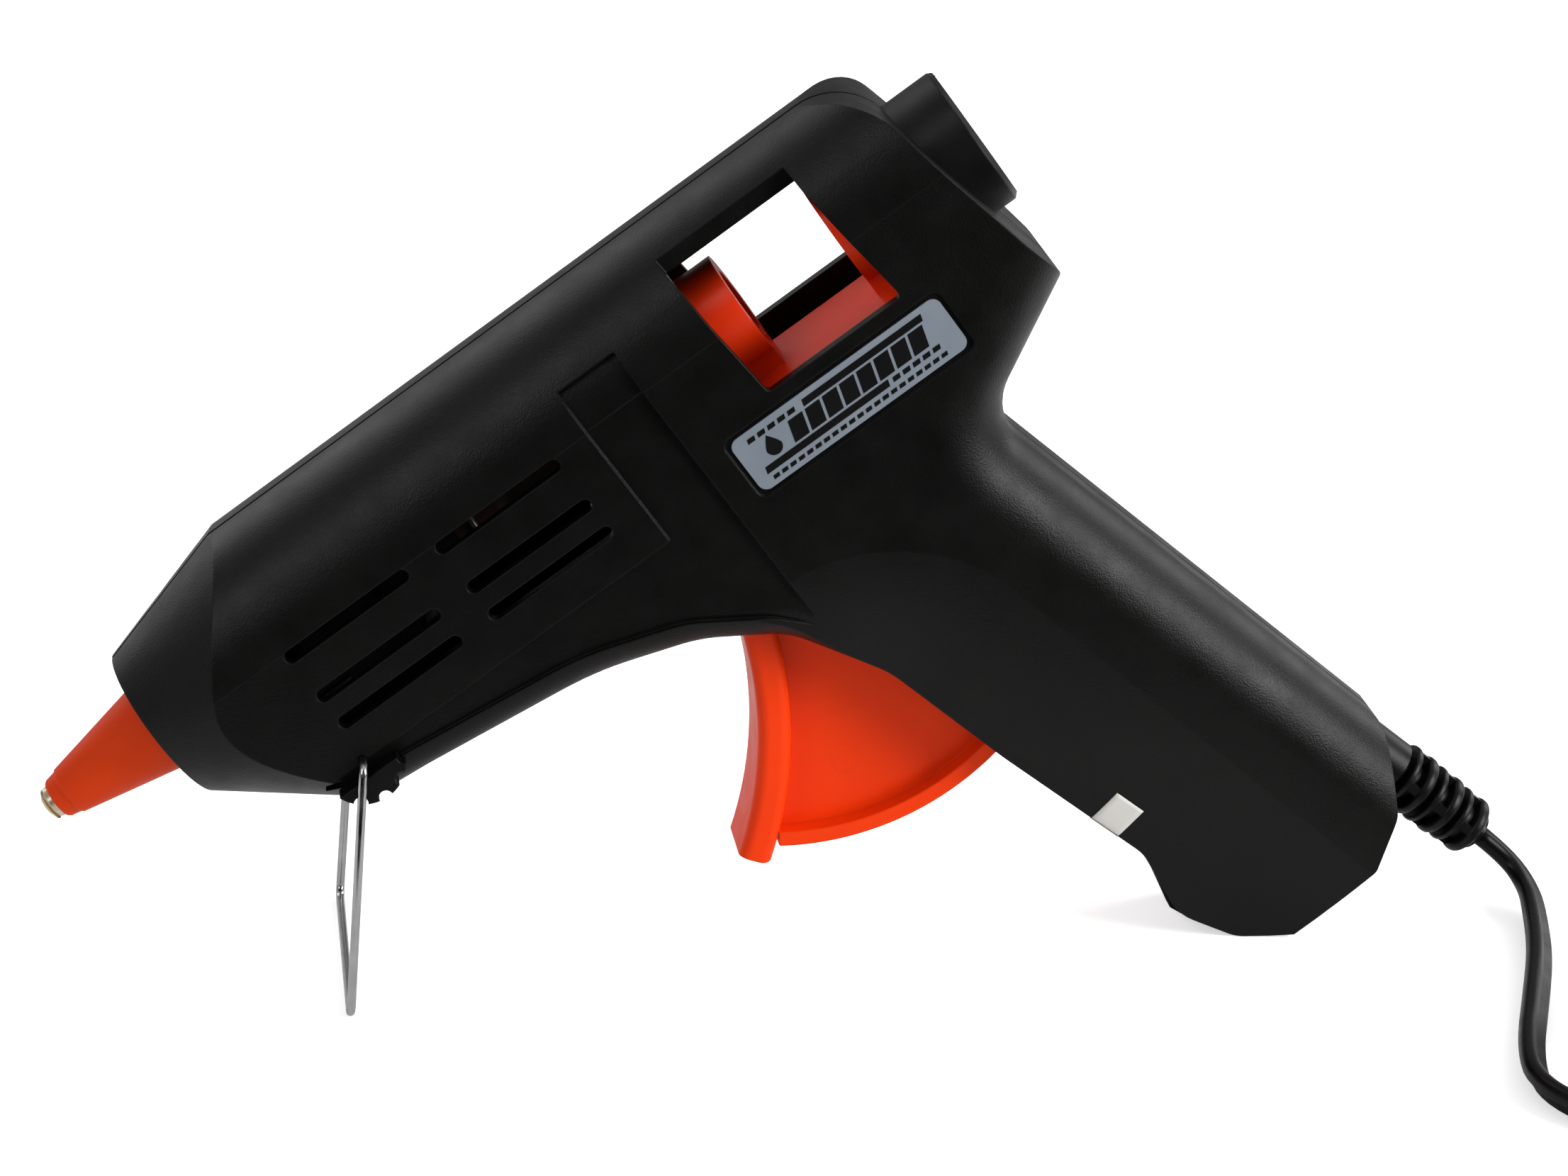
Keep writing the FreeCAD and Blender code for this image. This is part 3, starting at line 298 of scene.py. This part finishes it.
def metal(name, colour, rough, grain=900.0, grain_depth=0.000006, stain=None):
    """Turned, drawn or plated metal with faint tooling marks."""
    made, nodes, links, shader = new_material(name)
    marks = noise(nodes, links, grain, 2.0, (1.0, 1.0, 0.12))
    cloud = noise(nodes, links, 240.0, 3.0)
    worn = stain or [c * 0.8 for c in colour]
    links.new(blended(nodes, links, ranged(nodes, links, cloud, 0.0, 1.0), colour, worn),
              shader.inputs["Base Color"])
    smooth = max(0.04, rough - 0.06)
    links.new(ranged(nodes, links, marks, smooth, rough + 0.08), shader.inputs["Roughness"])
    shader.inputs["Metallic"].default_value = 1.0
    bumped(nodes, links, shader, marks, grain_depth)
    return made


CASING_BLACK = (0.0022, 0.0022, 0.0019)
CASING_LOW = (0.0016, 0.0016, 0.0015)
TRIM_BLACK = (0.003, 0.003, 0.003)          # collar, strain relief and plug
TRIM_LOW = (0.002, 0.002, 0.002)
CORD_BLACK = (0.0022, 0.0022, 0.0026)
CORD_LOW = (0.0018, 0.0018, 0.0018)
INK_LIGHT = (0.004, 0.004, 0.004)
TRIGGER_ORANGE = (0.76, 0.040, 0.002)
TRIGGER_LOW = (0.72, 0.036, 0.0015)
CARRIAGE_ORANGE = (0.86, 0.040, 0.004)
CARRIAGE_LOW = (0.76, 0.030, 0.003)
SLEEVE_ORANGE = (0.62, 0.045, 0.004)
SLEEVE_LOW = (0.50, 0.030, 0.003)


def materials():
    """Every look by its short name."""
    return {
        "casing": moulded("casing_black", CASING_BLACK, CASING_LOW, 0.4, 3600.0, 0.00006,
                          specular=0.17, edge=0.0004),
        "collar": moulded("collar_black", TRIM_BLACK, TRIM_LOW, 0.42, specular=0.17, edge=0.0004),
        "trigger": moulded("trigger_orange", TRIGGER_ORANGE, TRIGGER_LOW, 0.36, 1500.0, 0.000006, 0.00002,
                           specular=0.1, subsurface=0.08, edge=0.0005),
        "carriage": moulded("carriage_orange", CARRIAGE_ORANGE, CARRIAGE_LOW, 0.34, 1500.0, 0.000008,
                            specular=0.2, edge=0.0003),
        "sleeve": moulded("sleeve_silicone", SLEEVE_ORANGE, SLEEVE_LOW, 0.46, 2200.0, 0.000016,
                          specular=0.08, subsurface=0.12),
        "nozzle": metal("nozzle_metal", (0.66, 0.62, 0.54), 0.3, stain=(0.42, 0.30, 0.12)),
        # cast aluminium coloured near black: painted shade for the dark inside behind the vents, not the
        # metal's own colour
        "aluminium": metal("aluminium_painted_shade", (0.05, 0.05, 0.05), 0.6),
        "steel": metal("spring_steel", (0.3, 0.3, 0.3), 0.38),
        "chrome": metal("plated_wire", (0.42, 0.42, 0.42), 0.16, 1400.0, 0.000003),
        "holder": moulded("holder_brown", (0.05, 0.035, 0.025), (0.04, 0.03, 0.02), 0.5),
        "ceramic": moulded("ceramic", (0.72, 0.7, 0.66), (0.6, 0.58, 0.52), 0.55),
        "film": moulded("amber_film", (0.6, 0.25, 0.02), (0.5, 0.2, 0.015), 0.22),
        # red silicone seal coloured near black: painted shade for the dark inside behind the vents
        "seal": moulded("seal_silicone_painted_shade", (0.06, 0.012, 0.008), (0.045, 0.01, 0.006), 0.55),
        "label": label_silver(),
        # white lead sleeving coloured near black: painted shade for the dark inside behind the vents, not
        # the sleeving's own white
        "white_wire_painted_dark": moulded("wire_sleeving_painted_shade", (0.05, 0.045, 0.04), (0.035, 0.03, 0.028), 0.6),
        "nylon": moulded("nylon_sleeve", (0.66, 0.64, 0.56), (0.6, 0.58, 0.5), 0.4),
        "relief": moulded("relief_black", TRIM_BLACK, TRIM_LOW, 0.36, specular=0.16),
        "cord": moulded("cord_vinyl", CORD_BLACK, CORD_LOW, 0.32, 1100.0, 0.00001, specular=0.13),
        "ink": moulded("label_ink", TRIM_BLACK, INK_LIGHT, 0.5, specular=0.1),
        "paper": moulded("sticker_paper", (0.60, 0.59, 0.56), (0.54, 0.53, 0.50), 0.6, 900.0, 0.000012),
        "glue": glue(),
    }


def label_silver():
    """Silver printed film: fine metal flake and a soft brushed look."""
    made, nodes, links, shader = new_material("label_silver")
    flake = noise(nodes, links, 5200.0, 1.0)
    cloud = noise(nodes, links, 90.0, 3.0)
    silver, bright = (0.17, 0.20, 0.24), (0.20, 0.23, 0.27)
    links.new(blended(nodes, links, ranged(nodes, links, cloud, 0.0, 1.0), silver, bright),
              shader.inputs["Base Color"])
    links.new(ranged(nodes, links, flake, 0.38, 0.56), shader.inputs["Roughness"])
    shader.inputs["Metallic"].default_value = 0.25
    bumped(nodes, links, shader, flake, 0.000006)
    return made


def glue():
    """Clear amber glue left round the nozzle's mouth."""
    made, nodes, links, shader = new_material("set_glue")
    cloud = noise(nodes, links, 700.0, 3.0)
    amber, brown = (0.75, 0.52, 0.16), (0.5, 0.3, 0.07)
    links.new(blended(nodes, links, ranged(nodes, links, cloud, 0.0, 1.0), amber, brown),
              shader.inputs["Base Color"])
    shader.inputs["Roughness"].default_value = 0.16
    shader.inputs["Transmission Weight"].default_value = 0.35
    bumped(nodes, links, shader, cloud, 0.00012)
    return made


NODE_MATERIAL = {
    "left_shell": "casing", "right_shell": "casing", "stand_cams": "casing", "stick_collar": "collar",
    "nozzle": "nozzle", "nozzle_sleeve": "sleeve", "melt_chamber": "aluminium", "heater_element": "ceramic",
    "heater_insulation": "film", "heater_clip": "steel", "front_holder": "holder", "rear_holder": "holder",
    "stick_seal": "seal", "seal_clamp": "steel", "carriage": "carriage", "stick_gripper": "carriage",
    "gripper_pin": "steel", "return_spring": "steel", "trigger": "trigger", "trigger_pin": "steel",
    "stand_bail": "chrome", "strain_relief": "relief", "cord_inner": "cord", "cord_clamp": "holder",
    "clamp_screws": "steel", "case_screws": "steel", "label": "label", "cord_cores": "white_wire_painted_dark",
    "crimp_sleeves": "nylon", "heater_leads": "white_wire_painted_dark", "mains_plug": "relief", "plug_pins": "chrome",
    "cord_tube": "cord", "cord_coil": "cord", "cord_tail": "cord"}


def dress(looks):
    """Give each CAD node its look; the shapes stay."""
    for node, look in NODE_MATERIAL.items():
        NODES[node].data.materials.clear()
        NODES[node].data.materials.append(looks[look])


# ---- shared mesh helpers -------------------------------------------------------------------------
def piece(name, verts, faces, look, body="housing", smooth=True):
    """A visible piece that rides on a body."""
    mesh = bpy.data.meshes.new(name)
    mesh.from_pydata([tuple(v) for v in verts], [], faces)
    mesh.validate()
    tidy = bmesh.new()
    tidy.from_mesh(mesh)
    bmesh.ops.recalc_face_normals(tidy, faces=tidy.faces)
    tidy.to_mesh(mesh)
    tidy.free()
    if smooth:
        mesh.shade_smooth()
    made = bpy.data.objects.new(name, mesh)
    bpy.context.scene.collection.objects.link(made)
    mesh.materials.append(look)
    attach(made, body)
    return made


def tree_of(*names):
    """Search tree over the faces of those CAD nodes."""
    verts, faces = [], []
    for name in names:
        mesh = NODES[name].data
        start = len(verts)
        verts += [v.co.copy() for v in mesh.vertices]
        faces += [tuple(start + i for i in p.vertices) for p in mesh.polygons]
    return BVHTree.FromPolygons(verts, faces)


def ring_faces(rings, count, closed=False):
    """Quads that join each ring of count points to the next, and the last to the first if closed."""
    faces = []
    for ring in range(rings if closed else rings - 1):
        after = (ring + 1) % rings
        for i in range(count):
            k = (i + 1) % count
            faces.append((ring * count + i, ring * count + k, after * count + k, after * count + i))
    return faces


def eased(share):
    """The share held to 0..1, with a soft start and end."""
    held = min(1.0, max(0.0, share))
    return held * held * (3 - 2 * held)


# ---- cord ----------------------------------------------------------------------------------------
CORD_WIDE = 5.2
CORD_THICK = 3.1
CORD_R = 2.6
RELIEF_START = (173.4, -124.0)      # where the strain relief leaves the butt, millimetres along and up
RELIEF_LENGTH = 26.9
RELIEF_TILT = math.radians(74.45)
RELIEF_WAY = ALONG * math.cos(RELIEF_TILT) - UP * math.sin(RELIEF_TILT)
# control points after the exit: x and height from the exit, y in between; no height means on the floor
ROUTE = [(5.5, -0.6, -4.5), (7.9, -6.4, -8.2), (6.6, -14.6, None), (2.8, -30.0, None),
         (-3.4, -48.0, None), (-9.4, -65.0, None), (-12.0, -78.5, None), (-5.0, -91.0, None),
         (8.5, -98.2, None), (24.0, -100.0, None)]
# last control points, from the coil's middle and its top, up to the plug
TAIL = [(-20.7, 22.4, 0.0), (-28.5, 9.0, 0.6), (-28.0, -6.0, 2.6), (-22.0, -15.6, 5.4), (-12.0, -20.6, 8.2)]
COIL_RADII = [34.1, 28.8, 23.5, 18.2, 20.9, 26.2, 31.5]
COIL_TOP_RADIUS = 27.0
COIL_LEVELS = (2.6, 7.1, 11.7)
COIL_START = -90.0                  # degrees, on the coil's near side
COIL_END = 132.7                    # degrees, where the tail lifts off
COIL_STEP = 0.28                    # share of a turn in which the cord moves over to the next one
TURN_POINTS = 16
TWIST_START = 50                    # stretch of the line where the cord turns from its edge onto its flat
TWIST_END = 66


def cord_exit():
    """Middle of the strain relief's end, where the cord's first piece stops."""
    return at(RELIEF_START[0], 0, RELIEF_START[1]) + RELIEF_WAY * RELIEF_LENGTH * MM


def coil_middle():
    """The coil's middle, on the floor."""
    low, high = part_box("cord_coil")
    return Vector(((low.x + high.x) / 2, (low.y + high.y) / 2, 0.0))


def coil_points():
    """Turns of the coil, from its near side round to where the tail lifts off."""
    middle = coil_middle()
    turns = len(COIL_RADII) + (COIL_END - COIL_START) / 360
    count = round(turns * TURN_POINTS)
    levels = [COIL_LEVELS[0]] * 4 + [COIL_LEVELS[1]] * 3 + [COIL_LEVELS[2]] * 2
    radii = COIL_RADII + [COIL_TOP_RADIUS] * 2
    points = []
    for i in range(count):
        turn = i / TURN_POINTS
        whole = int(turn)
        share = eased((turn - whole - 1 + COIL_STEP) / COIL_STEP)
        radius = radii[whole] + (radii[whole + 1] - radii[whole]) * share
        level = levels[whole] + (levels[whole + 1] - levels[whole]) * share
        wobble = 0.25 * math.sin(turn * 4.1) + 0.2 * math.sin(turn * 9.7 + 1.0)
        angle = math.radians(COIL_START) + turn * 2 * math.pi
        reach = (radius + wobble) / math.cos(math.pi / TURN_POINTS) ** 0.5
        points.append(middle + Vector((reach * math.cos(angle), reach * math.sin(angle), level)) * MM)
    return points


def cord_points():
    """Control points of the whole free cord, from the strain relief to the plug."""
    start = cord_exit()
    points = [start]
    for dx, y, dz in ROUTE:
        level = CORD_R * MM if dz is None else start.z + dz * MM
        points.append(Vector((start.x + dx * MM, y * MM, level)))
    points += coil_points()
    middle = coil_middle()
    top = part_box("cord_coil")[1].z - CORD_R * MM
    points += [Vector((middle.x + dx * MM, middle.y + dy * MM, top + dz * MM)) for dx, dy, dz in TAIL]
    low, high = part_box("mains_plug")
    points.append(Vector((low.x + 0.001, (low.y + high.y) / 2, (low.z + high.z) / 2)))
    return points


def smooth_line(points):
    """Points along the NURBS spline that has these control points."""
    curve = bpy.data.curves.new("route", "CURVE")
    curve.dimensions = "3D"
    curve.resolution_u = 6
    spline = curve.splines.new("NURBS")
    spline.points.add(len(points) - 1)
    for knot, point in zip(spline.points, points):
        knot.co = (*point, 1.0)
    spline.order_u = 3
    spline.use_endpoint_u = True
    bare = bpy.data.objects.new("route", curve)
    mesh = bpy.data.meshes.new_from_object(bare)
    line = [v.co.copy() for v in mesh.vertices]
    bpy.data.objects.remove(bare)
    bpy.data.curves.remove(curve)
    bpy.data.meshes.remove(mesh)
    return line


def twin_section(count=20):
    """Outline of a flat two-core cord: two round cores with a shallow valley between."""
    outline = []
    core = CORD_THICK / 2
    shift = CORD_WIDE / 2 - core
    for i in range(count):
        angle = 2 * math.pi * (i + 0.5) / count
        across, rise = math.cos(angle), math.sin(angle)
        outline.append(((shift * math.copysign(1, across) + core * across) * MM, core * rise * MM))
        if i == count // 4 - 1 or i == 3 * count // 4 - 1:
            outline.append((0.0, core * 0.62 * math.copysign(1, rise) * MM))
    return outline


def cord(looks):
    """The free cord in one sweep; it comes out on edge and turns onto its flat on the floor."""
    line = smooth_line(cord_points())
    section = twin_section()
    verts = []
    side = Vector((0, 1, 0))
    for i, point in enumerate(line):
        way = (line[min(i + 1, len(line) - 1)] - line[max(i - 1, 0)]).normalized()
        side = (side - way * side.dot(way)).normalized()
        flat = way.cross(Vector((0, 0, 1)))
        if flat.dot(side) < 0:
            flat = -flat
        share = eased((i - TWIST_START) / (TWIST_END - TWIST_START))
        wide = side.lerp(flat.normalized(), share).normalized() if share else side
        if share == 1.0:
            side = wide
        rise = wide.cross(way).normalized()
        verts += [point + wide * a + rise * b for a, b in section]
    count = len(section)
    faces = ring_faces(len(line), count)
    faces.append(tuple(range(count)))
    faces.append(tuple((len(line) - 1) * count + j for j in range(count)))
    made = piece("cord", verts, faces, looks["cord"])
    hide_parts("cord_tube", "cord_coil", "cord_tail")


# ---- printed and stuck-on trim -------------------------------------------------------------------
INK_LIFT = 0.04
LABEL_CORNER = (121.4, -21.7)       # the label's lower front corner, millimetres along and up
PAPER_LIFT = 0.1
PAPER_THICKNESS = 0.09
PAPER_ROWS = 7
PAPER_COLUMNS = 44
PAPER_TOP = (143.0, -98.2)          # the sticker's ends inside the grip, millimetres along and up
PAPER_BOTTOM = (144.6, -103.6)
GRIP_LEAN = (0.957, 0.291)          # the grip's front, as shares of forwards and down
EJECTOR = (104.4, -72.0)            # middle of the mark, millimetres along and up
EJECTOR_RADII = (2.6, 2.475, 2.35)
EJECTOR_HEIGHTS = (-0.02, 0.07, -0.02)


def landed(tree, start, way):
    """Where a ray meets the surface, and the surface's normal there."""
    hit, normal, _, _ = tree.ray_cast(start, way)
    return hit, normal


def sheet_piece(name, loops, lift, look):
    """Closed thin sheets, one for each loop; a loop is a list of (place, outward normal)."""
    verts, faces = [], []
    for loop in loops:
        start, count = len(verts), len(loop)
        for height in (lift, -0.02):
            verts += [place + normal * height * MM for place, normal in loop]
        faces.append(tuple(start + i for i in range(count)))
        faces.append(tuple(start + count + i for i in reversed(range(count))))
        for i in range(count):
            k = (i + 1) % count
            faces.append((start + k, start + i, start + count + i, start + count + k))
    return piece(name, verts, faces, look, smooth=False)


def slanted(left, bottom, width, height, lean=0.28):
    """A printed block with leaning ends, on the label's own grid in millimetres."""
    shift = lean * height
    return [(left, bottom), (left + width, bottom), (left + width + shift, bottom + height),
            (left + shift, bottom + height)]


def droplet(centre, low, radius, tip):
    """A printed drop with its point up."""
    points = []
    for i in range(24):
        angle = math.radians(-90 + 15 * i)
        rise = math.sin(angle)
        narrow = 1.0 if rise < 0 else (1 - rise) ** 0.6
        points.append((centre + radius * math.cos(angle) * narrow,
                       low + radius + (radius if rise < 0 else tip) * rise))
    return points


def label_print(looks):
    """Plain graphic in place of wording: bars, leaning blocks, a drop and rows of dashes."""
    top_bar = slanted(13.0, 7.75, 22.6, 1.15)
    low_bar = slanted(2.2, 2.2, 23.4, 1.15)
    blocks = [slanted(8.6 + 3.25 * i, 3.75, 2.75, 3.6) for i in range(8)]
    top_dashes = [slanted(2.6 + 1.9 * i, 7.95, 1.35, 0.8) for i in range(5)]
    side_dashes = [slanted(26.4 + 1.9 * i, 2.35, 1.35, 0.8) for i in range(5)]
    low_dashes = [slanted(2.6 + 1.6 * i, 0.85, 1.1, 0.65) for i in range(21)]
    shapes = [top_bar, low_bar, droplet(5.6, 3.9, 1.4, 2.3)]
    shapes += blocks + top_dashes + side_dashes + low_dashes
    tree = tree_of("label")
    loops = []
    for shape in shapes:
        loop = []
        for along, rise in shape:
            spot = at(LABEL_CORNER[0] + along, -30, LABEL_CORNER[1] + rise)
            hit, normal = landed(tree, spot, ACROSS)
            loop.append((hit, normal if normal.y < 0 else -normal))
        loops.append(loop)
    return sheet_piece("label_print", loops, INK_LIFT, looks["ink"])


def sticker(looks):
    """Small paper sticker wrapped round the grip's front."""
    tree = tree_of("left_shell", "right_shell")
    front = (-ALONG * GRIP_LEAN[0] - UP * GRIP_LEAN[1]).normalized()
    top = at(PAPER_TOP[0], 0, PAPER_TOP[1])
    bottom = at(PAPER_BOTTOM[0], 0, PAPER_BOTTOM[1])
    rows, columns = PAPER_ROWS, PAPER_COLUMNS
    verts = []
    for i in range(rows):
        middle = top.lerp(bottom, i / (rows - 1))
        for j in range(columns):
            angle = math.radians(-66 + 108 * j / (columns - 1))
            out = front * math.cos(angle) + ACROSS * math.sin(angle)
            hit, _ = landed(tree, middle + out * 0.05, -out)
            verts.append(hit + out * PAPER_LIFT * MM)
    faces = [(i * columns + j, i * columns + j + 1, (i + 1) * columns + j + 1, (i + 1) * columns + j)
             for i in range(rows - 1) for j in range(columns - 1)]
    made = piece("sticker", verts, faces, looks["paper"])
    thick = made.modifiers.new("thickness", "SOLIDIFY")
    thick.thickness = PAPER_THICKNESS * MM
    thick.offset = 0.0
    return made


def ejector_mark(looks):
    """Faint moulded ring on the trigger's side."""
    tree = tree_of("trigger")
    verts = []
    count = 40
    for reach, lift in zip(EJECTOR_RADII, EJECTOR_HEIGHTS):
        for i in range(count):
            angle = 2 * math.pi * i / count
            along = EJECTOR[0] + reach * math.cos(angle)
            rise = EJECTOR[1] + reach * math.sin(angle)
            hit, _ = landed(tree, at(along, -20, rise), ACROSS)
            verts.append(hit - ACROSS * lift * MM)
    faces = ring_faces(len(EJECTOR_RADII), count)
    return piece("ejector_mark", verts, faces, looks["trigger"], body="trigger")


def glue_ring(looks):
    """A little set glue round the nozzle's mouth."""
    verts = []
    around, rings = 28, 9
    middle_radius, section_radius = 2.1, 0.62
    seat, section_depth = -1.2, 0.42
    for j in range(rings):
        share = j / (rings - 1)
        angle = math.pi * (share * 1.1 - 0.2)
        for i in range(around):
            turn = 2 * math.pi * i / around
            lump = 1 + 0.22 * math.sin(2 * turn + 0.6) + 0.12 * math.sin(5 * turn)
            radius = middle_radius - section_radius * lump * math.cos(angle)
            depth = seat - section_depth * lump * math.sin(angle)
            verts.append(at(depth, radius * math.cos(turn), radius * math.sin(turn)))
    return piece("set_glue", verts, ring_faces(rings, around), looks["glue"])


def collar_flash(looks):
    """Ragged bits of moulding flash on the far half of the collar's rear rim."""
    verts, faces = [], []
    rings, around, lumps = 6, 10, 11
    rim_along, rim_radius = 179.7, 11.6
    for lump in range(lumps):
        angle = math.radians(8 + 5.1 * lump)
        size = 0.42 + 0.2 * math.sin(lump * 2.3) ** 2
        middle = Vector((rim_along, rim_radius * math.cos(angle), rim_radius * math.sin(angle)))
        start = len(verts)
        verts.append(at(middle.x + size * 1.4, middle.y, middle.z))
        for j in range(1, rings):
            lean = math.pi * j / rings
            for i in range(around):
                turn = 2 * math.pi * i / around
                reach = size * (1 + 0.18 * math.sin(3 * turn + lump)) * math.sin(lean)
                verts.append(at(middle.x + size * 1.4 * math.cos(lean), middle.y + reach * math.cos(turn),
                                middle.z + reach * math.sin(turn)))
        verts.append(at(middle.x - size * 1.4, middle.y, middle.z))
        last = len(verts) - 1
        for i in range(around):
            k = (i + 1) % around
            faces.append((start, start + 1 + i, start + 1 + k))
            for j in range(rings - 2):
                low, high = start + 1 + j * around, start + 1 + (j + 1) * around
                faces.append((low + i, high + i, high + k, low + k))
            final = start + 1 + (rings - 2) * around
            faces.append((last, final + k, final + i))
    return piece("collar_flash", verts, faces, looks["collar"])


def cord_tie(looks):
    """Twist tie that holds the coil together."""
    middle = coil_middle()
    inner, outer, high = 15.8, 36.6, 14.2
    outline = [(inner, 0.5), (outer, 0.5), (outer, high * 0.5), (outer - 6, high), (inner + 5, high),
               (inner, high * 0.6)]
    cx, cz = (inner + outer) / 2, high / 2
    verts = []
    for layer, grow in ((-1.6, 0.0), (-1.6, 0.45), (1.6, 0.45), (1.6, 0.0)):
        for x, z in outline:
            dx, dz = x - cx, z - cz
            length = math.hypot(dx, dz)
            reach = (length - 0.5 + grow) / length
            verts.append(middle + Vector((layer, cx + dx * reach, max(0.05, cz + dz * reach))) * MM)
    faces = ring_faces(4, len(outline), closed=True)
    return piece("cord_tie", verts, faces, looks["cord"], smooth=False)


def main():
    looks = materials()
    camera()
    lights()
    flag()
    world()
    floor()
    dress(looks)
    tie = cord_tie(looks)
    cord(looks)
    label_print(looks)
    sticker(looks)
    ejector_mark(looks)
    glue_ring(looks)
    collar_flash(looks)


main()
bpy.context.scene.view_settings.view_transform = "Standard"
